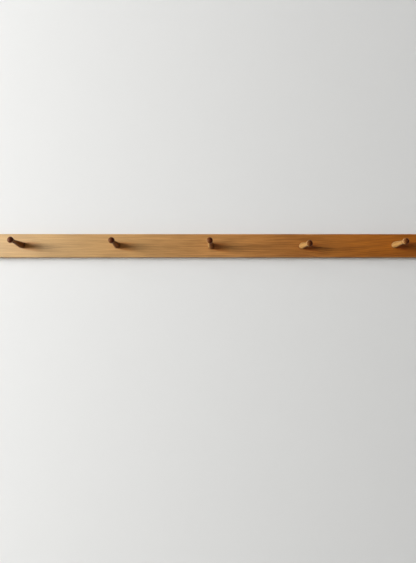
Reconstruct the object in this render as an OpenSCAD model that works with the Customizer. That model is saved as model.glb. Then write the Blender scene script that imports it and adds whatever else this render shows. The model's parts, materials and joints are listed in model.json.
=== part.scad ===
// Wall peg rail: one long board with five turned pegs, each held by a wedged through tenon,
// and two keyhole plates let into the back that hang it on a pair of wall screws.
//
// Frame: +X along the board, +Z up, +Y into the wall. The origin is the centre of the board's
// back face, so the wall is the plane Y = 0 and the pegs stand out toward -Y.

/* [Board] */
// Length of the board
board_len = 1250; // [1150:10:1600]
// Height of the board's face
board_h = 63; // [60:1:90]
// Thickness of the board
board_t = 19; // [18:0.5:25]
// Radius of the eased edges round the face
edge_r = 1.5; // [0.5:0.25:3]

/* [Pegs] */
// Distance between neighbouring pegs
peg_pitch = 250; // [200:5:260]
// How far a peg stands out of the board, along its own axis
peg_out = 70; // [60:1:90]
// Diameter where a peg meets the board
seat_d = 14.8; // [13.4:0.2:16]
// Largest diameter of a peg's body
belly_d = 16.5; // [16:0.5:20]
// Diameter of the neck behind the head, where things hang
neck_d = 9.6; // [8:0.2:11]
// Diameter of the head
head_d = 16.5; // [14:0.5:22]
// Depth of the head's front dome
dome_front = 5.1; // [4:0.1:8]
// Depth of the head's rounded back, as a full half ellipse
dome_back = 7.5; // [5:0.1:9]
// Diameter of the tenon that goes through the board
tenon_d = 12.7; // [10:0.1:12.9]

/* [Tenon wedges] */
// Wedge thickness at the back of the board
wedge_thick = 2.2; // [1.6:0.1:3]
// Wedge thickness at its driven end
wedge_thin = 0.6; // [0.4:0.1:1.2]
// How deep the wedge is driven
wedge_depth = 12; // [8:0.5:14]

/* [Hanging plates] */
// Length of a keyhole plate
plate_len = 42; // [40:1:50]
// Width of a keyhole plate
plate_w = 16; // [16:0.5:20]
// Thickness of a keyhole plate
plate_t = 2; // [1.5:0.25:2.5]
// Diameter of the round end that a wall screw's head goes in by
entry_d = 9.5; // [8:0.25:9.5]
// Width of the slot that the wall screw's shank rides in
slot_w = 5; // [4:0.25:5.5]
// How far the board drops onto the wall screws
drop = 9.5; // [7:0.5:10]
// Depth from the back face of the pocket behind a plate
pocket_deep = 9.2; // [8:0.2:10]

/* [Plate screws] */
// Length of a plate screw
screw_len = 12; // [9:0.5:13]
// Diameter over a plate screw's thread
screw_d = 3; // [2.5:0.1:3.2]
// Diameter of a plate screw's countersunk head
screw_head_d = 5.9; // [5.4:0.1:6.2]
// Distance between a plate's two screws
screw_span = 32; // [32:0.5:34]

/* [Hidden] */
// Each peg was fitted by hand: how far it sits off its mark along X and Z, how far it
// swings toward +X, and how far it rises above level.
peg_off_x = [-3.5, 2, 5, -1, -2];
peg_off_z = [1, 0.5, -1.5, -1, 1.5];
peg_swing = [0, 0, -3.5, 4.5, 0];
peg_rise = [4.5, 4, 5.5, -1.5, 1];
peg_count = len(peg_rise);
middle_peg = (peg_count - 1) / 2;

// A peg's profile is measured along its own axis, from where that axis leaves the board's face.
belly_at = 8;
neck_to_tip = 18;
neck_at = peg_out - neck_to_tip;
head_at = peg_out - dome_front;
head_start = -acos(neck_d / head_d);
belly_steps = 5;
profile_steps = 18;
// How far a peg's turning reaches inside the face, so that a leaning peg leaves no gap.
seat_in = 1.5;

// Gap all round a tenon in its hole, and round a screw in its plate.
fit_gap = 0.05;
// How far the tenons stop short of the wall plane.
tenon_recess = 0.4;
// How far cutting shapes run past what they cut.
past = 5;

// The plates sit halfway between the outer pegs, sunk a little below the back face.
plate_x = 1.5 * peg_pitch;
plate_in = 0.2;
plate_gap = 0.1;
// Nearly half the width, so that the plate's ends are almost round.
plate_r = 0.45 * plate_w;
entry_at = -drop / 2;
hang_at = drop / 2;
pocket_beside = 2;
pocket_below = 2;
pocket_above = 1;
pocket_r = 3;
pocket_w = entry_d + 2 * pocket_beside;
pocket_low = entry_at - entry_d / 2 - pocket_below;
pocket_high = hang_at + entry_d / 2 + pocket_above;

core_share = 0.64;
core_d = core_share * screw_d;
thread_pitch = 1.35;
shank = 0.3;
screw_tip = 2;
head_deep = (screw_head_d - screw_d) / 2;
thread_turns = floor((screw_len - head_deep - screw_tip) / thread_pitch);
pilot_past = 0.5;
cross_w = 0.7;
cross_span = 3.2;
cross_deep = 1.1;

board_brown = [0.66, 0.45, 0.24];
peg_tan = [0.76, 0.58, 0.36];
wedge_brown = [0.42, 0.27, 0.15];
zinc = [0.74, 0.75, 0.76];

sides = ["left", "right"];
ends = ["bottom", "top"];
$fn = 64;

// Radius of a peg's body at z along its axis: a swelling from the seat to the belly, then a
// long hollow taper down to the neck.
function body_r(z) = z < belly_at
    ? (seat_d + (belly_d - seat_d) * sin(90 * z / belly_at)) / 2
    : (neck_d + (belly_d - neck_d) * (1 + cos(180 * (z - belly_at) / (neck_at - belly_at))) / 2) / 2;

// A point on the head's flattened ball, at an angle forward of its widest circle.
function head_point(a) = [head_d / 2 * cos(a), head_at + (a < 0 ? dome_back : dome_front) * sin(a)];

function spread(low, high, steps) = [for (k = [0 : steps]) low + (high - low) * k / steps];

// Places children on peg i's axis, with z = 0 at the board's face and +z out of the board.
module at_peg(i) {
    translate([(i - middle_peg) * peg_pitch + peg_off_x[i], -board_t, peg_off_z[i]])
        rotate([90 - peg_rise[i], 0, peg_swing[i]])
            children();
}

// Places children at a plate: x along the board, y up, z into the board from its back face.
module at_plate(s) {
    translate([(s == 0 ? -1 : 1) * plate_x, 0, 0])
        rotate([90, 0, 0])
            children();
}

// Places children at one of a plate's two screws.
module at_screw(e) {
    translate([0, (e == 0 ? -1 : 1) * screw_span / 2, plate_in])
        children();
}

// A slab of space between two depths behind the wall plane, wider than the whole rail.
module depth_slab(front, back) {
    translate([-board_len, -front, -board_h])
        cube([2 * board_len, front - back, 2 * board_h]);
}

module rounded_rect(w, h, r) {
    square([w, h - 2 * r], center = true);
    square([w - 2 * r, h], center = true);
    for (x = [-1, 1], y = [-1, 1])
        translate([x * (w / 2 - r), y * (h / 2 - r)])
            circle(r);
}

// The board before it is cut: its edges are eased all along, and its ends at the face.
module blank() {
    intersection() {
        translate([0, -board_t / 2, 0])
            rotate([90, 0, 90])
                linear_extrude(board_len, center = true)
                    rounded_rect(board_t, board_h, edge_r);
        translate([0, -board_t / 2, 0])
            linear_extrude(2 * board_h, center = true)
                rounded_rect(board_len, board_t, edge_r);
    }
}

// What is cut out of the board for one plate: a recess, the pocket for the wall screw's head,
// and the two plate screws' holes, which are as wide as the threads that cut them.
module plate_cuts() {
    translate([0, 0, -past])
        linear_extrude(past + plate_in + plate_t)
            rounded_rect(plate_w + 2 * plate_gap, plate_len + 2 * plate_gap, plate_r);
    translate([0, (pocket_low + pocket_high) / 2, 0])
        linear_extrude(pocket_deep)
            rounded_rect(pocket_w, pocket_high - pocket_low, pocket_r);
    for (e = [0, 1])
        at_screw(e)
            cylinder(d = screw_d, h = screw_len + pilot_past);
}

module rail() {
    color(board_brown)
        difference() {
            blank();
            for (i = [0 : peg_count - 1])
                at_peg(i)
                    translate([0, 0, -board_t - past])
                        cylinder(d = tenon_d + 2 * fit_gap, h = board_t + 2 * past);
            for (s = [0, 1])
                at_plate(s)
                    plate_cuts();
        }
}

// The turned shape of a peg outside the board. It starts a little inside the face, so that a
// leaning peg can be pared flush to the board.
module peg_turning() {
    body = [for (z = concat([-seat_in], spread(0, belly_at, belly_steps))) [body_r(z), z]];
    taper = [for (z = spread(belly_at, neck_at, profile_steps)) [body_r(z), z]];
    head = [for (a = spread(head_start, 90, profile_steps)) head_point(a)];
    rotate_extrude()
        polygon(concat([[0, -seat_in]], body, [for (k = [1 : profile_steps]) taper[k]], head));
}

// The tapering wedge that spreads a tenon, driven from the back across the board's grain.
module wedge_shape() {
    back_at = -board_t - past;
    slope = (wedge_thick - wedge_thin) / wedge_depth;
    back_half = (wedge_thick + slope * past) / 2;
    thin_half = wedge_thin / 2;
    thin_at = tenon_recess + wedge_depth - board_t;
    rotate([90, 0, 0])
        linear_extrude(2 * tenon_d, center = true)
            polygon([
                [-back_half, back_at],
                [back_half, back_at],
                [thin_half, thin_at],
                [-thin_half, thin_at]
            ]);
}

module tenon_shape(i) {
    intersection() {
        at_peg(i)
            translate([0, 0, -board_t - past])
                cylinder(d = tenon_d, h = board_t + past + seat_in);
        depth_slab(board_t + 2 * seat_in, tenon_recess);
    }
}

module peg(i) {
    color(peg_tan) {
        intersection() {
            at_peg(i)
                peg_turning();
            depth_slab(board_t + 2 * peg_out, board_t);
        }
        difference() {
            tenon_shape(i);
            at_peg(i)
                wedge_shape();
        }
    }
}

module wedge(i) {
    color(wedge_brown)
        intersection() {
            tenon_shape(i);
            at_peg(i)
                wedge_shape();
        }
}

module keyhole() {
    translate([0, entry_at])
        circle(d = entry_d);
    translate([0, hang_at])
        circle(d = slot_w);
    translate([-slot_w / 2, entry_at])
        square([slot_w, hang_at - entry_at]);
}

// One keyhole plate, with countersinks that open toward the wall.
module keyhole_plate(s) {
    sink = head_deep + fit_gap;
    color(zinc)
        at_plate(s)
            difference() {
                translate([0, 0, plate_in])
                    linear_extrude(plate_t)
                        difference() {
                            rounded_rect(plate_w, plate_len, plate_r);
                            keyhole();
                        }
                for (e = [0, 1])
                    at_screw(e) {
                        cylinder(d1 = screw_head_d + 2 * fit_gap, d2 = screw_d + 2 * fit_gap, h = sink);
                        cylinder(d = screw_d + 2 * fit_gap, h = plate_t + past);
                    }
            }
}

// A countersunk wood screw with a cross recess, its thread drawn as rings.
module plate_screw(s, e) {
    thread_from = head_deep + shank;
    head = [[0, 0], [screw_head_d / 2, 0], [screw_d / 2, head_deep], [core_d / 2, thread_from]];
    rings = [
        for (k = [0 : thread_turns - 1], side = [0, 1])
            [(side == 0 ? core_d : screw_d) / 2, thread_from + (k + (side + 1) / 2) * thread_pitch]
    ];
    color(zinc)
        at_plate(s)
            at_screw(e)
                difference() {
                    rotate_extrude()
                        polygon(concat(head, rings, [[0, screw_len]]));
                    for (turn = [0, 90])
                        rotate(turn)
                            translate([-cross_span / 2, -cross_w / 2, -past])
                                cube([cross_span, cross_w, past + cross_deep]);
                }
}

rail();
for (i = [0 : peg_count - 1]) {
    peg(i);
    wedge(i);
}
for (s = [0, 1]) {
    keyhole_plate(s);
    for (e = [0, 1])
        plate_screw(s, e);
}
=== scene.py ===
"""Wall peg rail: the visual model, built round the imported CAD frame.

The frame is the CAD part's own: metres, +X along the board, +Z up, +Y into the wall, with the
wall plane at Y = 0. Each piece is rebuilt here as a finer mesh in the place that the frame gives.
"""

import json
import math

import bmesh
import bpy
from mathutils import Matrix, Vector, noise


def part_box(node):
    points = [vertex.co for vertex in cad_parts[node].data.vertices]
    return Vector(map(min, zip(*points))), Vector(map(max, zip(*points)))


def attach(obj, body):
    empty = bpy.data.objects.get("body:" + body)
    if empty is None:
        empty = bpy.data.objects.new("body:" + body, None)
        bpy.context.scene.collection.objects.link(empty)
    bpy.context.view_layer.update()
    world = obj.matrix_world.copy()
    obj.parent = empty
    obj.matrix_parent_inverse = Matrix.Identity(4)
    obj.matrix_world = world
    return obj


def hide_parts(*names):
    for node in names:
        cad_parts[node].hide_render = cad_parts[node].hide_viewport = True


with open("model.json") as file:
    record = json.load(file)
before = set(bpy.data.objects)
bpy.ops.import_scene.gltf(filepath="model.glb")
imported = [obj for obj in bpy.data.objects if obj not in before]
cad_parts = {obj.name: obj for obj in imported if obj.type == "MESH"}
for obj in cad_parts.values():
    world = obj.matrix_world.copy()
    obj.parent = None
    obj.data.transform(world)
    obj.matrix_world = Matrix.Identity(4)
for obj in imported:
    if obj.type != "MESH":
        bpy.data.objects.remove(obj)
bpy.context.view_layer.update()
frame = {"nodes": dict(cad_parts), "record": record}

MM = 0.001
BODY = "root"

# Places, all from the frame.
BOARD_LOW, BOARD_HIGH = (Vector(corner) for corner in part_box("rail"))
FACE_Y = BOARD_LOW.y
MOUNTS = {mount["name"]: mount for mount in frame["record"]["mounts"]}
PEGS = sorted(name for name in frame["nodes"] if name.startswith("peg_"))
WEDGES = sorted(name for name in frame["nodes"] if name.startswith("wedge_"))
PLATES = sorted(name for name in frame["nodes"] if name.startswith("keyhole_plate_"))
SCREWS = sorted(name for name in frame["nodes"] if name.startswith("plate_screw_"))

# Board. Its hand-eased edges and its planed faces wander by a little over these wavelengths.
EDGE_R = 1.5 * MM
EDGE_WANDER = 0.3 * MM
EDGE_WAVE = 45 * MM
FACE_WANDER = 0.06 * MM
FACE_WAVE_LONG = 110 * MM
FACE_WAVE_HIGH = 20 * MM
STATION = 5 * MM
CORNER_STEPS = 6
SIDE_STEPS = 3

# Peg, measured along its own axis from the board's face
PEG_OUT = 70 * MM
SEAT_R = 7.4 * MM
BELLY_R = 8.25 * MM
BELLY_AT = 8 * MM
NECK_R = 4.8 * MM
NECK_AT = 52 * MM
HEAD_R = 8.25 * MM
DOME_FRONT = 5.1 * MM
DOME_BACK = 7.5 * MM
HEAD_AT = PEG_OUT - DOME_FRONT
HEAD_START = -math.acos(NECK_R / HEAD_R)
NECK_MOUNT_AT = (NECK_AT + HEAD_AT + DOME_BACK * math.sin(HEAD_START)) / 2
TENON_R = 6.35 * MM
HOLE_R = 6.4 * MM
TENON_RECESS = 0.4 * MM
TENON_CHAMFER = 0.4 * MM
OUT_OF_ROUND = 0.012
LUMP = 16 * MM
PEG_SIDES = 72

# Wedge, measured from the tenon's end
WEDGE_THICK = 2.2 * MM
WEDGE_THIN = 0.6 * MM
WEDGE_DEPTH = 12 * MM

# Keyhole plate
PLATE_R = 7.2 * MM
PLATE_GAP = 0.1 * MM
PLATE_EDGE = 0.12 * MM
ENTRY_R = 4.75 * MM
SLOT_R = 2.5 * MM
POCKET_DEEP = 9.2 * MM
POCKET_R = 3 * MM
POCKET_MARGIN = 2 * MM
POCKET_ABOVE = 1 * MM

# Plate screw, measured from its head's face
SCREW_R = 1.5 * MM
CORE_R = 0.96 * MM
SCREW_HEAD_R = 2.95 * MM
SCREW_HEAD_DEEP = 1.45 * MM
SCREW_GAP = 0.05 * MM
SCREW_TIP = 2.4 * MM
PILOT_DEEP = 12.5 * MM
THREAD_PITCH = 1.35 * MM
CROSS_HALF = 1.6 * MM
CROSS_HALF_THIN = 0.35 * MM
CROSS_DEEP = 1.1 * MM

# How far a cutter reaches past what it cuts
PAST = 1 * MM
WELL_PAST = 5 * MM


# ---------------------------------------------------------------- mesh helpers

def new_piece(name, bm):
    """An object from a bmesh, with its normals turned outward."""
    mesh = bpy.data.meshes.new(name)
    bmesh.ops.recalc_face_normals(bm, faces=bm.faces)
    bm.to_mesh(mesh)
    bm.free()
    piece = bpy.data.objects.new(name, mesh)
    bpy.context.scene.collection.objects.link(piece)
    return piece


def crease(piece, degrees=32):
    """Shades a piece smooth and marks the edges that turn by more than this as sharp."""
    bm = bmesh.new()
    bm.from_mesh(piece.data)
    for face in bm.faces:
        face.smooth = True
    for edge in bm.edges:
        edge.smooth = len(edge.link_faces) == 2 and edge.calc_face_angle() < math.radians(degrees)
    bm.to_mesh(piece.data)
    bm.free()


def apply_modifiers(piece):
    """Bakes a piece's modifiers into its mesh."""
    graph = bpy.context.evaluated_depsgraph_get()
    mesh = bpy.data.meshes.new_from_object(piece.evaluated_get(graph))
    piece.modifiers.clear()
    old = piece.data
    piece.data = mesh
    bpy.data.meshes.remove(old)


def combine(piece, operation, *tools):
    """Cuts a piece with closed shapes, and removes them."""
    for tool in tools:
        cut = piece.modifiers.new("cut", "BOOLEAN")
        cut.operation = operation
        cut.solver = "EXACT"
        cut.object = tool
    apply_modifiers(piece)
    for tool in tools:
        mesh = tool.data
        bpy.data.objects.remove(tool)
        bpy.data.meshes.remove(mesh)


def carve(piece, *cutters):
    """Takes closed shapes out of a piece."""
    combine(piece, "DIFFERENCE", *cutters)


def soften(piece, width):
    """Rounds a piece's sharp edges."""
    bevel = piece.modifiers.new("soften", "BEVEL")
    bevel.width = width
    bevel.segments = 2
    bevel.limit_method = "ANGLE"
    bevel.angle_limit = math.radians(40)
    bevel.harden_normals = False
    apply_modifiers(piece)


def loft(bm, rings, close_ends=True):
    """Joins closed rings of points, one after another, into a skin."""
    loops = [[bm.verts.new(point) for point in ring] for ring in rings]
    count = len(loops[0])
    for a, b in zip(loops, loops[1:]):
        for k in range(count):
            bm.faces.new((a[k], a[(k + 1) % count], b[(k + 1) % count], b[k]))
    if close_ends:
        bm.faces.new(loops[0][::-1])
        bm.faces.new(loops[-1])
    return loops


def close_with_pole(bm, loop, point):
    """Closes a loop with triangles that meet at a point."""
    pole = bm.verts.new(point)
    for k in range(len(loop)):
        bm.faces.new((loop[k], loop[(k + 1) % len(loop)], pole))


def spread(low, high, steps):
    """Evenly spaced values from low to high, both ends included."""
    return [low + (high - low) * k / steps for k in range(steps + 1)]


def full_turn(sides):
    """The angles of the corners of a round shape with this many sides."""
    return [2 * math.pi * k / sides for k in range(sides)]


def arc(centre, radius, start, end, steps):
    """Points round an arc in a plane, angles in degrees."""
    turns = [math.radians(angle) for angle in spread(start, end, steps)]
    return [(centre[0] + radius * math.cos(t), centre[1] + radius * math.sin(t)) for t in turns]


def rounded_outline(half_w, low, high, radius, steps=10):
    """A rounded rectangle in XZ, from z = low to z = high."""
    x, bottom, top = half_w - radius, low + radius, high - radius
    return (
        arc((x, bottom), radius, -90, 0, steps)
        + arc((x, top), radius, 0, 90, steps)
        + arc((-x, top), radius, 90, 180, steps)
        + arc((-x, bottom), radius, 180, 270, steps)
    )


def slab(name, outline, centre_x, front, back):
    """A flat shape with an outline in XZ, between two depths in Y."""
    bm = bmesh.new()
    loft(bm, [[(centre_x + x, y, z) for x, z in outline] for y in (front, back)])
    return new_piece(name, bm)


def rod(name, place, profile, sides=48):
    """A turned solid about a place's own Z axis, from (radius, z) points."""
    bm = bmesh.new()
    turns = full_turn(sides)
    loft(bm, [
        [place @ Vector((r * math.cos(t), r * math.sin(t), z)) for t in turns] for r, z in profile
    ])
    return new_piece(name, bm)


# ---------------------------------------------------------------- places

def peg_place(name):
    """A peg's own frame: +Z along its axis, out of the board, from where it leaves the face."""
    mount = MOUNTS[name + "_neck"]
    out = Vector(mount["axis"]).normalized()
    side = Vector((0, 0, 1)).cross(-out).normalized() * -1
    up = out.cross(side)
    base = Vector(mount["pos_m"]) - out * NECK_MOUNT_AT
    turn = Matrix((side, up, out)).transposed().to_4x4()
    return Matrix.Translation(base) @ turn


def depth_along(place, x, y, plane_y):
    """How far along a peg's axis its line through (x, y) meets the plane Y = plane_y."""
    start = place @ Vector((x, y, 0))
    along = place.to_3x3() @ Vector((0, 0, 1))
    return (plane_y - start.y) / along.y


def screw_place(name):
    """A plate screw's own frame: +Z into the board, from its head's face."""
    low, high = (Vector(corner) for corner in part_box(name))
    centre = (low + high) / 2
    return Matrix.Translation((centre.x, high.y, centre.z)) @ Matrix.Rotation(math.pi / 2, 4, "X")


def keyhole_heights(plate):
    """How high the centres of a keyhole's wide entry and of its narrow end are."""
    return [MOUNTS[plate.replace("plate", end)]["pos_m"][2] for end in ("entry", "hang")]


# ---------------------------------------------------------------- rail

def eased_radius(x, corner):
    """The radius of one of the board's four long edges at x. They were eased by hand, so it wanders."""
    apart = 7.3
    return EDGE_R + EDGE_WANDER * noise.noise((x / EDGE_WAVE, corner * apart, 0))


def board_section(x):
    """The board's outline in YZ at x, drawn in within its rounded ends."""
    end_gap = BOARD_HIGH.x - abs(x)
    inset = EDGE_R - math.sqrt(EDGE_R ** 2 - (EDGE_R - end_gap) ** 2) if end_gap < EDGE_R else 0
    front, back = BOARD_LOW.y + inset, BOARD_HIGH.y - inset
    low, high = BOARD_LOW.z + inset, BOARD_HIGH.z - inset
    corners = []
    for k, (y, z, dy, dz, start) in enumerate([
        (front, low, 1, 1, 180),
        (back, low, -1, 1, 270),
        (back, high, -1, -1, 0),
        (front, high, 1, -1, 90),
    ]):
        radius = eased_radius(x, k)
        centre = (y + dy * radius, z + dz * radius)
        corners.append(arc(centre, radius, start, start + 90, CORNER_STEPS))
    loop = []
    for k, corner in enumerate(corners):
        (y0, z0), (y1, z1) = corner[-1], corners[(k + 1) % 4][0]
        loop += corner
        for step in range(1, SIDE_STEPS):
            t = step / SIDE_STEPS
            loop.append((y0 + (y1 - y0) * t, z0 + (z1 - z0) * t))
    depth = BOARD_HIGH.y - BOARD_LOW.y

    def stray(y, z):
        """How far a point of the front strays from flat. The back stays true to the wall."""
        wave = noise.noise((x / FACE_WAVE_LONG, z / FACE_WAVE_HIGH, 0))
        return FACE_WANDER * wave * (BOARD_HIGH.y - y) / depth

    return [(x, y + stray(y, z), z) for y, z in loop]


def make_rail():
    """The board with its rounded ends, peg holes, plate recesses, pockets and pilot holes."""
    rounding = (0, 25, 45, 65, 90)
    near_end = [BOARD_HIGH.x - EDGE_R * (1 - math.cos(math.radians(a))) for a in rounding]
    straight = spread(-near_end[-1], near_end[-1], round(near_end[-1] * 2 / STATION))
    stations = [-x for x in near_end] + straight[1:-1] + near_end[::-1]
    bm = bmesh.new()
    loft(bm, [board_section(x) for x in stations])
    rail = new_piece("rail_board", bm)
    behind, before = 40 * MM, 10 * MM
    hole = [(HOLE_R, -behind), (HOLE_R, before)]
    carve(rail, *[rod("hole", peg_place(peg), hole) for peg in PEGS])
    for plate in PLATES:
        low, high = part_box(plate)
        x, half = (low[0] + high[0]) / 2, (high[0] - low[0]) / 2
        entry, hang = keyhole_heights(plate)
        recess = rounded_outline(half + PLATE_GAP, low[2] - PLATE_GAP, high[2] + PLATE_GAP, PLATE_R)
        pocket = rounded_outline(
            ENTRY_R + POCKET_MARGIN,
            entry - ENTRY_R - POCKET_MARGIN,
            hang + ENTRY_R + POCKET_ABOVE,
            POCKET_R,
        )
        carve(rail, slab("recess", recess, x, low[1], WELL_PAST))
        carve(rail, slab("pocket", pocket, x, -POCKET_DEEP, -PAST))
    for screw in SCREWS:
        carve(rail, rod("pilot", screw_place(screw), [(SCREW_R, 0), (SCREW_R, PILOT_DEEP)], 32))
    crease(rail)
    return rail


# ---------------------------------------------------------------- pegs

def body_r(z):
    """A peg's swelling and its long hollow taper."""
    if z < BELLY_AT:
        return SEAT_R + (BELLY_R - SEAT_R) * math.sin(math.pi / 2 * z / BELLY_AT)
    if z < NECK_AT:
        fall = (1 + math.cos(math.pi * (z - BELLY_AT) / (NECK_AT - BELLY_AT))) / 2
        return NECK_R + (BELLY_R - NECK_R) * fall
    return NECK_R


def head_ring(angle):
    """The radius and the place of a ring on the head, which is blunter in front than behind."""
    depth = DOME_BACK if angle < 0 else DOME_FRONT
    return HEAD_R * math.cos(angle), HEAD_AT + depth * math.sin(angle)


def plane_ring(place, radius, plane_y):
    """Where a tube round a peg's axis meets the plane Y = plane_y, in the peg's own frame."""
    points = []
    for turn in full_turn(PEG_SIDES):
        x, y = radius * math.cos(turn), radius * math.sin(turn)
        points.append((x, y, depth_along(place, x, y, plane_y)))
    return points


def make_peg(name, number):
    """A hand-turned peg: not quite round, pared flush where it leans against the board."""
    place = peg_place(name)
    seed = 11.7 * number
    turns = full_turn(PEG_SIDES)
    body = [(body_r(z), z) for z in spread(0, NECK_AT, 46)]
    neck_end = head_ring(HEAD_START)[1]
    body += [(NECK_R, z) for z in spread(NECK_AT, neck_end, 5)[1:]]
    head = [head_ring(a) for a in spread(HEAD_START, math.radians(86), 34)[1:]]

    def wobble(turn, z):
        around = (math.cos(turn) * 0.8, math.sin(turn) * 0.8, z / LUMP + seed)
        return 1 + OUT_OF_ROUND * noise.noise(around)

    def ring(radius, z, flush=0.0):
        """A ring round the axis, tipped into the board's face where flush is 1."""
        points = []
        for turn in turns:
            r = radius * wobble(turn, z)
            x, y = r * math.cos(turn), r * math.sin(turn)
            points.append((x, y, z + flush * depth_along(place, x, y, FACE_Y)))
        return points

    rings = [
        plane_ring(place, TENON_R - TENON_CHAMFER, -TENON_RECESS),
        plane_ring(place, TENON_R, -TENON_RECESS - TENON_CHAMFER),
        plane_ring(place, TENON_R, FACE_Y / 2),
        plane_ring(place, TENON_R, FACE_Y),
    ]
    settle = 5 * MM
    rings += [ring(r, z, max(0.0, 1 - z / settle)) for r, z in body]
    rings += [ring(r, z) for r, z in head]
    bm = bmesh.new()
    loops = loft(bm, rings, close_ends=False)
    bm.faces.new(loops[0][::-1])
    close_with_pole(bm, loops[-1], (0, 0, PEG_OUT))
    peg = new_piece(name + "_turned", bm)
    carve(peg, wedge_blank(place))
    crease(peg)
    peg.matrix_world = place
    return peg


def wedge_blank(place):
    """A long wedge across a tenon's end, in a peg's own frame, its taper carried on past the end."""
    end = depth_along(place, 0, 0, -TENON_RECESS)
    slope = (WEDGE_THICK - WEDGE_THIN) / WEDGE_DEPTH
    back_half = (WEDGE_THICK + slope * WELL_PAST) / 2
    thin_half = WEDGE_THIN / 2
    corners = [
        (-back_half, end - WELL_PAST),
        (back_half, end - WELL_PAST),
        (thin_half, end + WEDGE_DEPTH),
        (-thin_half, end + WEDGE_DEPTH),
    ]
    bm = bmesh.new()
    reach = 2 * TENON_R
    loft(bm, [[(x, y, z) for x, z in corners] for y in (-reach, reach)])
    return new_piece("wedge_blank", bm)


def make_wedge(name, peg):
    """A wedge driven into a tenon and sawn off flush with it."""
    place = peg_place(peg)
    wedge = wedge_blank(place)
    wedge.name = name + "_driven"
    tenon_end = plane_ring(place, TENON_R, -TENON_RECESS)
    bm = bmesh.new()
    loft(bm, [tenon_end, [(x, y, 0) for x, y, _ in tenon_end]])
    combine(wedge, "INTERSECT", new_piece("tenon_envelope", bm))
    crease(wedge)
    wedge.matrix_world = place
    return wedge


# ---------------------------------------------------------------- plates and screws

def make_plate(name):
    """A stamped steel plate with a keyhole and two countersinks, its edges slightly rounded."""
    low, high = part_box(name)
    x, half = (low[0] + high[0]) / 2, (high[0] - low[0]) / 2
    entry, hang = keyhole_heights(name)
    outline = rounded_outline(half, low[2], high[2], PLATE_R, 14)
    plate = slab(name + "_stamped", outline, x, low[1], high[1])
    opening = math.degrees(math.asin(SLOT_R / ENTRY_R))
    keyhole = arc((0, entry), ENTRY_R, 90 + opening, 450 - opening, 44)
    keyhole += arc((0, hang), SLOT_R, 0, 180, 18)
    carve(plate, slab("keyhole", keyhole, x, low[1] - PAST, high[1] + PAST))
    sink = [
        (SCREW_HEAD_R + SCREW_GAP + PAST, -PAST),
        (SCREW_HEAD_R + SCREW_GAP, 0),
        (SCREW_R + SCREW_GAP, SCREW_HEAD_DEEP),
        (SCREW_R + SCREW_GAP, 4 * MM),
    ]
    for screw in SCREWS:
        if screw.startswith(name.replace("keyhole_plate", "plate_screw")):
            carve(plate, rod("sink", screw_place(screw), sink, 40))
    soften(plate, PLATE_EDGE)
    crease(plate, 50)
    return plate


def thread_ring(z, turns, start, length):
    """A ring of a screw's thread at z. The thread rises over its first turn and runs out in the tip."""
    ridge_half = 0.28
    taper = min(1.0, (length - z) / SCREW_TIP)
    rise = min(1.0, (z - start) / THREAD_PITCH)
    ring = []
    for t in turns:
        phase = (z / THREAD_PITCH - t / (2 * math.pi)) % 1
        ridge = max(0.0, 1 - abs(phase - 0.5) / ridge_half) * rise
        r = (CORE_R + (SCREW_R - CORE_R) * ridge) * taper
        ring.append((r * math.cos(t), r * math.sin(t), z))
    return ring


def cross_bar(turn):
    """The cutter for one bar of a screw's cross, narrowing inward, in the screw's own frame."""
    mouth = (CROSS_HALF, CROSS_HALF_THIN, -PAST)
    floor = (0.55 * CROSS_HALF, 0.7 * CROSS_HALF_THIN, CROSS_DEEP)
    spin = Matrix.Rotation(turn, 4, "Z")
    corners = ((-1, -1), (1, -1), (1, 1), (-1, 1))
    bm = bmesh.new()
    loft(bm, [
        [spin @ Vector((x * wide, y * thin, z)) for x, y in corners] for wide, thin, z in (mouth, floor)
    ])
    return new_piece("cross", bm)


def make_screw(name):
    """A countersunk wood screw with a cut cross and a helical thread."""
    low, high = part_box(name)
    length = high[1] - low[1]
    rim, lip, plain_shank, blunt = 0.15 * MM, 0.12 * MM, 0.5 * MM, 0.05 * MM
    start = SCREW_HEAD_DEEP + plain_shank
    head = [(SCREW_HEAD_R - rim, 0), (SCREW_HEAD_R, lip), (SCREW_R, SCREW_HEAD_DEEP)]
    turns = full_turn(28)
    rings = [[(r * math.cos(t), r * math.sin(t), z) for t in turns] for r, z in head]
    rows = round((length - start) / (THREAD_PITCH / 10))
    rings += [thread_ring(z, turns, start, length) for z in spread(start, length - blunt, rows)]
    bm = bmesh.new()
    loops = loft(bm, rings, close_ends=False)
    bm.faces.new(loops[0][::-1])
    close_with_pole(bm, loops[-1], (0, 0, length))
    screw = new_piece(name + "_turned", bm)
    for turn in (0, math.pi / 2):
        carve(screw, cross_bar(turn))
    crease(screw, 30)
    screw.matrix_world = screw_place(name)
    return screw


# ---------------------------------------------------------------- materials

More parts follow.
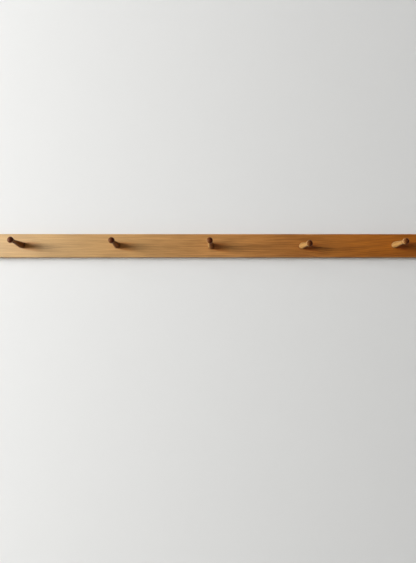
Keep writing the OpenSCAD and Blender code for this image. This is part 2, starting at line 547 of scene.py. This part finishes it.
class Nodes:
    """A material's node tree, with short ways to add and join nodes."""

    def __init__(self, name):
        self.material = bpy.data.materials.new(name)
        self.material.use_nodes = True
        self.tree = self.material.node_tree
        self.tree.nodes.clear()
        self.shader = self.add("ShaderNodeBsdfPrincipled")
        output = self.add("ShaderNodeOutputMaterial")
        self.tree.links.new(self.shader.outputs[0], output.inputs[0])

    def add(self, kind, inputs=None, **settings):
        node = self.tree.nodes.new(kind)
        for key, value in settings.items():
            setattr(node, key, value)
        for key, value in (inputs or {}).items():
            self.give(node.inputs[key], value)
        return node

    def give(self, socket, value):
        if isinstance(value, bpy.types.NodeSocket):
            self.tree.links.new(value, socket)
        else:
            socket.default_value = value

    def math(self, operation, a, b=0.0, c=0.0, clamp=False):
        node = self.add("ShaderNodeMath", operation=operation, use_clamp=clamp)
        for socket, value in zip(node.inputs, (a, b, c)):
            self.give(socket, value)
        return node.outputs[0]

    def vector(self, x, y, z):
        return self.add("ShaderNodeCombineXYZ", {0: x, 1: y, 2: z}).outputs[0]

    def noise(self, vector, scale=1.0, detail=3.0, roughness=0.5):
        node = self.add("ShaderNodeTexNoise", {
            "Vector": vector, "Scale": scale, "Detail": detail, "Roughness": roughness,
        })
        return node.outputs["Fac"]

    def band(self, value, low, high, to_low=0.0, to_high=1.0):
        """value from low..high taken smoothly to to_low..to_high, and held beyond them."""
        node = self.add("ShaderNodeMapRange", interpolation_type="SMOOTHSTEP")
        for socket, given in zip(node.inputs, (value, low, high, to_low, to_high)):
            self.give(socket, given)
        return node.outputs[0]

    def mix(self, factor, a, b, blend="MIX"):
        node = self.add("ShaderNodeMix", data_type="RGBA", blend_type=blend, clamp_factor=True)
        self.give(node.inputs["Factor"], factor)
        self.give(node.inputs[6], a)
        self.give(node.inputs[7], b)
        return node.outputs[2]

    def bump(self, height, distance, normal=None):
        inputs = {"Height": height, "Distance": distance, "Strength": 1.0}
        if normal is not None:
            inputs["Normal"] = normal
        return self.add("ShaderNodeBump", inputs).outputs[0]

    def set(self, **values):
        """Sets the shader's sockets: underscores stand for spaces."""
        for key, value in values.items():
            self.give(self.shader.inputs[key.replace("_", " ")], value)


def rgb(r, g, b):
    return (r, g, b, 1.0)


AXIS_ORDER = {"X": (0, 2, 1), "Y": (1, 2, 0), "Z": (2, 0, 1)}


def coordinates(nodes, output):
    """The three parts of a piece's own coordinates or normal."""
    source = nodes.add("ShaderNodeTexCoord").outputs[output]
    return nodes.add("ShaderNodeSeparateXYZ", {0: source}).outputs


def axes(nodes, grain):
    """Object coordinates in millimetres as (along the grain, across, across)."""
    place = coordinates(nodes, "Object")
    return [nodes.math("MULTIPLY", place[k], 1 / MM) for k in AXIS_ORDER[grain]]


def grained(nodes, place, length, width, **more):
    """Noise drawn out along the grain: its features are about this long and this wide, in mm."""
    stretched = [nodes.math("DIVIDE", value, size) for value, size in zip(place, (length, width, width))]
    return nodes.noise(nodes.vector(*stretched), **more)


def bent_grain(nodes, place, sway):
    """The same place with the grain's own bends taken out, so that it runs straight there. sway is
    how far, in mm, the long bends may carry it sideways."""
    along, across, depth = place
    stray = nodes.math("SUBTRACT", grained(nodes, place, 230, 120, detail=1.5), 0.5)
    ripple = nodes.math("SUBTRACT", grained(nodes, place, 48, 26, detail=1.0), 0.5)
    bend = nodes.math("MULTIPLY_ADD", ripple, 3.6, nodes.math("MULTIPLY", stray, sway))
    return along, nodes.math("ADD", across, bend), depth


def growth_rings(nodes, place, pith, ring):
    """How dark the growth rings are: each darkens through its year, then starts pale again. pith is
    where the centre of the tree lay across the grain, in mm."""
    a = nodes.math("SUBTRACT", place[1], pith[0])
    b = nodes.math("SUBTRACT", place[2], pith[1])
    squares = nodes.math("MULTIPLY_ADD", a, a, nodes.math("MULTIPLY", b, b))
    year = nodes.math("DIVIDE", nodes.math("SQRT", squares), ring)
    season = nodes.math("FRACT", year)
    late = nodes.math("MULTIPLY", nodes.band(season, 0.15, 0.90), nodes.band(season, 1.0, 0.92))
    heavy = nodes.noise(nodes.vector(nodes.math("MULTIPLY", year, 0.38), 0.0, 0.0), detail=1.0)
    return nodes.math("MULTIPLY", late, nodes.band(heavy, 0.30, 0.66, 0.15, 1.0))


def wood(nodes, grain, base, end_tone, pith, ring, sway, contrast, rough, end_from=0.45, vivid=1.0):
    """Gives a material's shader the look of wood, solid all through: growth rings, streaks, hair-fine
    fibres and pores along the grain, and darker, thirstier end grain. end_from is how squarely, from
    0 to 1, a surface has to face along the grain to start to look like end grain. vivid strengthens
    the figure. Returns the colour and the roughness, for what a finish adds to them."""
    end_on = nodes.math("ABSOLUTE", coordinates(nodes, "Normal")[AXIS_ORDER[grain][0]])
    place = bent_grain(nodes, axes(nodes, grain), sway)
    rings = growth_rings(nodes, place, pith, ring)
    pore = nodes.band(grained(nodes, place, 3.4, 0.20, detail=1.0), 0.64, 0.76)
    hair = grained(nodes, place, 14, 0.22, detail=2.0, roughness=0.6)
    fibre = grained(nodes, place, 70, 1.1, detail=5.0, roughness=0.65)
    tone = nodes.math("MULTIPLY", rings, 0.42)
    for part, low, high, share in (
        (grained(nodes, place, 150, 6.5, detail=3.0, roughness=0.60), 0.34, 0.66, 0.26),
        (grained(nodes, place, 64, 2.6, detail=2.0, roughness=0.60), 0.34, 0.66, 0.30),
        (grained(nodes, place, 120, 26, detail=3.0, roughness=0.55), 0.32, 0.68, 0.24),
        (fibre, 0.30, 0.72, 0.26),
        (hair, 0.20, 0.80, 0.10),
    ):
        tone = nodes.math("MULTIPLY_ADD", nodes.band(part, low, high), share, tone)
    middle = 0.65
    tone = nodes.math("MULTIPLY_ADD", nodes.math("SUBTRACT", tone, middle), vivid, middle)
    pale, deep = 1.0 + 0.30 * contrast, 1.0 - 0.34 * contrast
    figure = nodes.mix(
        nodes.math("SUBTRACT", tone, 0.18, clamp=True),
        rgb(pale, pale * 1.01, pale * 1.03),
        rgb(deep, deep * 0.93, deep * 0.84),
    )
    colour = nodes.mix(1.0, base, figure, "MULTIPLY")
    colour = nodes.mix(nodes.math("MULTIPLY", pore, 0.30 * contrast), colour, rgb(0.06, 0.028, 0.012))
    end = nodes.band(end_on, end_from, end_from + 0.4)
    colour = nodes.mix(end, colour, nodes.mix(1.0, colour, end_tone, "MULTIPLY"))

    gloss = nodes.math("MULTIPLY_ADD", nodes.math("SUBTRACT", fibre, 0.5), 0.24, rough)
    gloss = nodes.math("MULTIPLY_ADD", end, 0.22, gloss)
    height = nodes.math("MULTIPLY_ADD", pore, -0.8, nodes.math("MULTIPLY", hair, 0.5))
    height = nodes.math("MULTIPLY_ADD", rings, 0.30, height)
    nodes.set(Base_Color=colour, Roughness=gloss, Normal=nodes.bump(height, 0.04 * MM))
    return colour, gloss


def varnish(nodes, weight, rough, sheen):
    """A satin varnish over the wood, and how much the wood under it shines."""
    nodes.set(IOR=1.45, Specular_IOR_Level=sheen, Coat_Weight=weight, Coat_Roughness=rough, Coat_IOR=1.5)


def near(nodes, value, centre, reach, fade):
    """1 within reach of a centre, and 0 past the fade beyond it."""
    away = nodes.math("ABSOLUTE", nodes.math("SUBTRACT", value, centre))
    return nodes.band(away, reach + fade, reach)


def paint_peg_shadows(nodes, colour, along, up):
    """Paints each peg's shadow on the board: to its right the board is painted redder and darker, as
    painted shadow. Round the peg the varnish has gathered and darkened, which also paints contact shade
    there, with a thin line of dirt at the hole."""
    rim = SEAT_R / MM
    for peg in PEGS:
        seat = peg_place(peg).translation / MM
        x, z = nodes.math("SUBTRACT", along, seat.x), nodes.math("SUBTRACT", up, seat.z)
        away = nodes.math("SQRT", nodes.math("MULTIPLY_ADD", x, x, nodes.math("MULTIPLY", z, z)))
        # The painted shadow lies to the right, drops a little and widens a little on its way.
        aside = nodes.math("ABSOLUTE", nodes.math("MULTIPLY_ADD", x, 0.10, z))
        half = nodes.math("MULTIPLY_ADD", x, 0.08, 5.5)
        shade = nodes.math("MULTIPLY", nodes.band(x, -2.0, 7.0), nodes.band(x, 64.0, 10.0))
        shade = nodes.math("MULTIPLY", shade, nodes.band(aside, nodes.math("ADD", half, 7.0), half))
        # Painted shadow: the board to the right of each peg is made redder and darker.
        shadowed_colour = nodes.mix(1.0, colour, rgb(1.0, 0.70, 0.42), "MULTIPLY")
        colour = nodes.mix(shade, colour, shadowed_colour)
        # Darker varnish gathered round the seat, which is also painted contact shade.
        pooled_and_contact_shade = nodes.math("MULTIPLY", nodes.band(away, rim + 5.0, rim), 0.30)
        colour = nodes.mix(pooled_and_contact_shade, colour, rgb(0.22, 0.060, 0.008))
        line = nodes.math("MULTIPLY", nodes.band(away, rim + 2.2, rim + 0.1), 0.45)
        colour = nodes.mix(line, colour, rgb(0.10, 0.032, 0.008))
    return colour


def behind_plates(nodes, along, up, deep):
    """1 in the recesses and pockets behind the keyhole plates, which are alike on both sides."""
    low, high = (Vector(corner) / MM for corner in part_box(PLATES[-1]))
    centre, half = (low + high) / 2, (high - low) / 2
    routed = near(nodes, nodes.math("ABSOLUTE", along), centre.x, half.x + 0.4, 0.5)
    routed = nodes.math("MULTIPLY", routed, near(nodes, up, centre.z, half.z + 0.3, 0.6))
    return nodes.math("MULTIPLY", routed, nodes.band(deep, -11.0, -10.5))


def board_wood():
    """Honey varnish painted paler toward the window end, as painted light and sheen, rubbed pale on its
    arrises, which also paints a highlight there, and dusty on top, with painted shade on the underside.
    The back and the routed pockets were never varnished."""
    nodes = Nodes("board_wood")
    place = axes(nodes, "X")
    along, up, deep = place
    front, low = BOARD_LOW.y / MM, BOARD_LOW.z / MM
    back, high = BOARD_HIGH.y / MM, BOARD_HIGH.z / MM
    # Painted light and sheen: paler toward the window end at the left, darker and redder toward the
    # right.
    base = nodes.mix(nodes.band(along, -740, 600), rgb(0.550, 0.342, 0.128), rgb(0.335, 0.098, 0.005))
    # The end grain at the left end is darker than at the right end.
    end_tone = nodes.mix(nodes.band(along, -400, 400), rgb(0.46, 0.36, 0.29), rgb(0.90, 0.84, 0.76))
    colour, gloss = wood(
        nodes, "X", base, end_tone, pith=(-96.0, 58.0), ring=3.4,
        sway=nodes.band(along, 40, 400, 6.0, 44.0), contrast=0.95, rough=0.46,
        vivid=nodes.band(along, -420, 240, 0.66, 1.30),
    )

    # Dust lies on the top edge. The underside is painted dark, as painted shade under the board, and its
    # varnish is made dull.
    upward = coordinates(nodes, "Normal")[2]
    settled = nodes.band(grained(nodes, place, 30, 12, detail=4.0), 0.30, 0.66, 0.35, 1.0)
    dust = nodes.math("MULTIPLY", nodes.band(upward, 0.70, 0.98), settled)
    colour = nodes.mix(nodes.math("MULTIPLY", dust, 0.34), colour, rgb(0.43, 0.40, 0.35))
    # Painted shade under the board: the underside is darkened.
    underside_shade = nodes.band(upward, -0.70, -0.98)
    colour = nodes.mix(nodes.math("MULTIPLY", underside_shade, 0.75), colour, rgb(0.14, 0.070, 0.028))
    gloss = nodes.math("MULTIPLY_ADD", nodes.math("MAXIMUM", dust, underside_shade), 0.25, gloss)

    # Handling has rubbed the front arrises, more in some stretches than in others. The pale arrises are
    # also a painted highlight along the edges.
    arris = nodes.math("MAXIMUM", near(nodes, up, high, 0.7, 0.7), near(nodes, up, low, 0.7, 0.7))
    arris = nodes.math("MULTIPLY", arris, near(nodes, deep, front, 0.9, 0.8))
    patchy = nodes.band(grained(nodes, place, 40, 9, detail=4.0), 0.40, 0.62, 0.25, 1.0)
    rubbed = nodes.math("MULTIPLY", arris, patchy)
    colour = nodes.mix(nodes.math("MULTIPLY", rubbed, 0.55), colour, rgb(0.62, 0.42, 0.20))

    colour = paint_peg_shadows(nodes, colour, along, up)
    on_back = nodes.band(deep, back - 1.0, back - 0.3)
    raw = nodes.math("MAXIMUM", behind_plates(nodes, along, up, deep), on_back)
    dry = nodes.mix(0.60, colour, rgb(0.52, 0.35, 0.18))
    nodes.set(
        Base_Color=nodes.mix(raw, colour, dry),
        Roughness=nodes.math("MULTIPLY_ADD", nodes.math("MAXIMUM", raw, rubbed), 0.24, gloss),
    )
    matt = nodes.math("MAXIMUM", raw, underside_shade)
    varnish(nodes, nodes.math("MULTIPLY_ADD", matt, -0.6, 0.6), rough=0.40, sheen=0.25)
    return nodes.material


def peg_wood():
    """Pale turned wood whose end grain has drunk the stain, with fine rings left by the gouge. The
    sides turned from the window are painted darker and redder, as painted shade, and those facing it
    paler, as painted light."""
    nodes = Nodes("peg_wood")
    place = axes(nodes, "Z")
    up = place[0]
    # Painted shade: the side turned away from the window is darker and redder than the side facing it.
    shaded_side = nodes.band(coordinates(nodes, "Normal")[0], -0.65, 0.25)
    # The tenon, in behind the board's face, was never stained.
    tenon = nodes.band(up, -1.0, -3.0)
    stain_and_side_shade = nodes.mix(shaded_side, rgb(0.310, 0.168, 0.054), rgb(0.158, 0.041, 0.004))
    colour, gloss = wood(
        nodes, "Z", nodes.mix(tenon, stain_and_side_shade, rgb(0.36, 0.22, 0.11)),
        end_tone=nodes.mix(tenon, rgb(0.46, 0.30, 0.12), rgb(0.80, 0.74, 0.66)),
        pith=(-17.0, 11.0), ring=1.5, sway=3.0, contrast=0.75, rough=0.42, end_from=0.30,
    )

    # Grime in the neck, grime and painted contact shade round the seat, heavier on the shaded side, and
    # a rubbed band where things hang and hands go.
    neck, head = NECK_AT / MM + 1.0, PEG_OUT / MM - 4.5
    seat = nodes.math("MULTIPLY", nodes.band(up, 2.6, 0.2), nodes.math("MULTIPLY_ADD", shaded_side, 0.8, 0.2))
    grime_and_seat_shade = nodes.math("MAXIMUM", seat, near(nodes, up, neck, 1.0, 7.0))
    smudge = nodes.band(grained(nodes, place, 9, 5, detail=4.0), 0.34, 0.66, 0.3, 1.0)
    grime_and_seat_shade_amount = nodes.math("MULTIPLY", nodes.math("MULTIPLY", grime_and_seat_shade, smudge), 0.50)
    colour = nodes.mix(grime_and_seat_shade_amount, colour, rgb(0.075, 0.030, 0.011))
    rubbed = nodes.math("MULTIPLY", near(nodes, up, head, 0.8, 2.0), smudge)
    colour = nodes.mix(nodes.math("MULTIPLY", rubbed, 0.25), colour, rgb(0.42, 0.25, 0.11))

    # The gouge's travel wanders a little, so the rings aren't evenly spaced.
    travel_a_turn, wander = 0.9, 9.0
    drift = nodes.noise(nodes.vector(nodes.math("MULTIPLY", up, 0.22), 0.0, 0.0))
    drift = nodes.math("MULTIPLY", drift, wander)
    travel = nodes.math("MULTIPLY_ADD", up, 2 * math.pi / travel_a_turn, drift)
    fibres = nodes.shader.inputs["Normal"].links[0].from_socket
    nodes.set(
        Base_Color=colour,
        Roughness=nodes.math("MULTIPLY_ADD", grime_and_seat_shade, 0.10, gloss),
        Normal=nodes.bump(nodes.math("SINE", travel), 0.012 * MM, normal=fibres),
    )
    varnish(nodes, 0.05, rough=0.28, sheen=0.18)
    return nodes.material


def wedge_wood():
    """Dark, dry, unfinished hardwood."""
    nodes = Nodes("wedge_wood")
    wood(
        nodes, "Y", rgb(0.125, 0.060, 0.028), end_tone=rgb(0.80, 0.74, 0.70),
        pith=(-20.0, 12.0), ring=1.3, sway=2.0, contrast=0.9, rough=0.62,
    )
    return nodes.material


def zinc(name, tint, rough):
    """Bright zinc plating: faintly clouded, with fine rolling marks and a few dull handling marks."""
    nodes = Nodes(name)
    whole = nodes.add("ShaderNodeTexCoord").outputs["Object"]
    x, y, z = coordinates(nodes, "Object")
    across, along = 5200.0, 160.0
    drawn = [nodes.math("MULTIPLY", part, size) for part, size in ((x, across), (y, across), (z, along))]
    marks = nodes.noise(nodes.vector(*drawn), detail=3.0)
    cloud = nodes.band(nodes.noise(whole, scale=260.0, detail=4.0), 0.35, 0.68)
    dull = nodes.band(nodes.noise(whole, scale=620.0, detail=5.0, roughness=0.7), 0.54, 0.70)
    colour = nodes.mix(cloud, rgb(*tint), rgb(*[part * 0.80 for part in tint]))
    colour = nodes.mix(nodes.math("MULTIPLY", dull, 0.45), colour, rgb(0.36, 0.35, 0.33))
    gloss = nodes.math("MULTIPLY_ADD", marks, 0.16, rough - 0.08)
    gloss = nodes.math("ADD", gloss, nodes.math("MULTIPLY", dull, 0.18), clamp=True)
    nodes.set(Base_Color=colour, Metallic=1.0, Roughness=gloss, Normal=nodes.bump(marks, 0.006 * MM))
    return nodes.material


# ---------------------------------------------------------------- build

def fit_out(piece, node, material):
    """Gives a piece its material, and puts it in its node's place on the body."""
    piece.data.materials.clear()
    piece.data.materials.append(material)
    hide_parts(node)
    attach(piece, BODY)


fit_out(make_rail(), "rail", board_wood())
TURNED = peg_wood()
for number, peg in enumerate(PEGS):
    fit_out(make_peg(peg, number), peg, TURNED)
PLATING = zinc("plate_zinc", (0.74, 0.75, 0.76), 0.34)
for plate in PLATES:
    fit_out(make_plate(plate), plate, PLATING)
SCREW_PLATING = zinc("screw_zinc", (0.76, 0.75, 0.70), 0.28)
for screw in SCREWS:
    fit_out(make_screw(screw), screw, SCREW_PLATING)
DRIVEN = wedge_wood()
for wedge, peg in zip(WEDGES, PEGS):
    fit_out(make_wedge(wedge, peg), wedge, DRIVEN)


# ---------------------------------------------------------------- stage

def plain(name, colour, rough):
    """A material of one colour all over."""
    nodes = Nodes(name)
    nodes.set(Base_Color=colour, Roughness=rough)
    return nodes


def mix_output(nodes, factor, other):
    """Shows another shader in place of a material's own where the factor is 1."""
    sides = nodes.add("ShaderNodeMixShader", {0: factor, 1: nodes.shader.outputs[0], 2: other})
    output = next(node for node in nodes.tree.nodes if node.type == "OUTPUT_MATERIAL")
    nodes.tree.links.new(sides.outputs[0], output.inputs[0])


def sheet_of(name, corners, material):
    """A flat four-cornered piece of the stage."""
    mesh = bpy.data.meshes.new(name)
    mesh.from_pydata(corners, [], [(0, 1, 2, 3)])
    mesh.materials.append(material)
    sheet = bpy.data.objects.new(name, mesh)
    bpy.context.scene.collection.objects.link(sheet)
    return sheet


def make_stage():
    """A pale floor that the camera sees evenly lit, and a pale wall that is clear from behind, so
    that the back can be seen."""
    floor_z, reach, top = -1.15, 9.0, 3.2
    wall_y = 0.8 * MM
    floor = plain("pale_floor", rgb(0.30, 0.30, 0.29), 0.9)
    evenly_pale = floor.add("ShaderNodeEmission", {0: rgb(0.74, 0.74, 0.72)})
    seen = floor.add("ShaderNodeLightPath").outputs["Is Camera Ray"]
    mix_output(floor, floor.math("MULTIPLY", seen, 0.85), evenly_pale.outputs[0])
    sheet_of("floor", [
        (-reach, -reach, floor_z),
        (reach, -reach, floor_z),
        (reach, reach, floor_z),
        (-reach, reach, floor_z),
    ], floor.material)
    wall = plain("pale_wall", rgb(0.73, 0.73, 0.72), 0.9)
    from_behind = wall.add("ShaderNodeNewGeometry").outputs["Backfacing"]
    shadow = wall.add("ShaderNodeLightPath").outputs["Is Shadow Ray"]
    clear = wall.add("ShaderNodeBsdfTransparent")
    mix_output(wall, wall.math("MAXIMUM", from_behind, shadow), clear.outputs[0])
    sheet_of("wall", [
        (-reach, wall_y, floor_z),
        (reach, wall_y, floor_z),
        (reach, wall_y, top),
        (-reach, wall_y, top),
    ], wall.material)


def room_light(name, bearing, climb, away, size, power):
    """A soft light aimed at the board's middle. Its bearing goes from 0 along the wall on the left,
    through 90 straight out into the room, to 180 along the wall on the right."""
    turn, rise = math.radians(bearing), math.radians(climb)
    level = math.cos(rise)
    place = Vector((-math.cos(turn) * level, -math.sin(turn) * level, math.sin(rise))) * away
    light = bpy.data.lights.new(name, "AREA")
    light.shape = "RECTANGLE"
    light.size, light.size_y = size
    light.energy = power
    lamp = bpy.data.objects.new(name, light)
    lamp.location = place
    lamp.rotation_euler = (-place).to_track_quat("-Z", "Y").to_euler()
    bpy.context.scene.collection.objects.link(lamp)


def make_lights():
    """Two windows on the left, the stronger one almost in line with the wall, and faint fills. The
    room itself gives little light, but the camera sees it pale."""
    room_light("window", 14, 6, 7.2, (2.6, 2.0), 800)
    room_light("far_window", 42, 7, 6.0, (2.6, 1.8), 218)
    room_light("ceiling", 60, 52, 3.4, (2.4, 2.0), 7)
    room_light("room_fill", 150, 14, 3.0, (1.8, 1.6), 1.5)
    room_light("back_fill", -70, 4, 2.8, (2.4, 1.6), 70)
    world = bpy.data.worlds.new("soft_room")
    world.use_nodes = True
    tree = world.node_tree
    background = tree.nodes["Background"]
    background.inputs[0].default_value = rgb(1.0, 1.0, 1.0)
    seen = tree.nodes.new("ShaderNodeLightPath").outputs["Is Camera Ray"]
    as_light, as_seen = 0.04, 0.75
    level = tree.nodes.new("ShaderNodeMapRange")
    level.inputs["To Min"].default_value = as_light
    level.inputs["To Max"].default_value = as_seen
    tree.links.new(seen, level.inputs["Value"])
    tree.links.new(level.outputs[0], background.inputs[1])
    bpy.context.scene.world = world


def make_camera():
    """Square to the wall, a little below the rail and tipped up a little, about a stride away."""
    place, tipped_up = (-0.003, -1.108, -0.146), 2.6
    camera = bpy.data.cameras.new("camera")
    camera.sensor_fit = "AUTO"
    camera.sensor_width = 36
    camera.lens = 26.02
    camera.clip_start, camera.clip_end = 0.01, 60
    eye = bpy.data.objects.new("camera", camera)
    eye.location = place
    eye.rotation_euler = (math.radians(90 + tipped_up), 0, 0)
    bpy.context.scene.collection.objects.link(eye)
    bpy.context.scene.camera = eye


make_stage()
make_lights()
make_camera()
bpy.context.scene.view_settings.view_transform = "Standard"
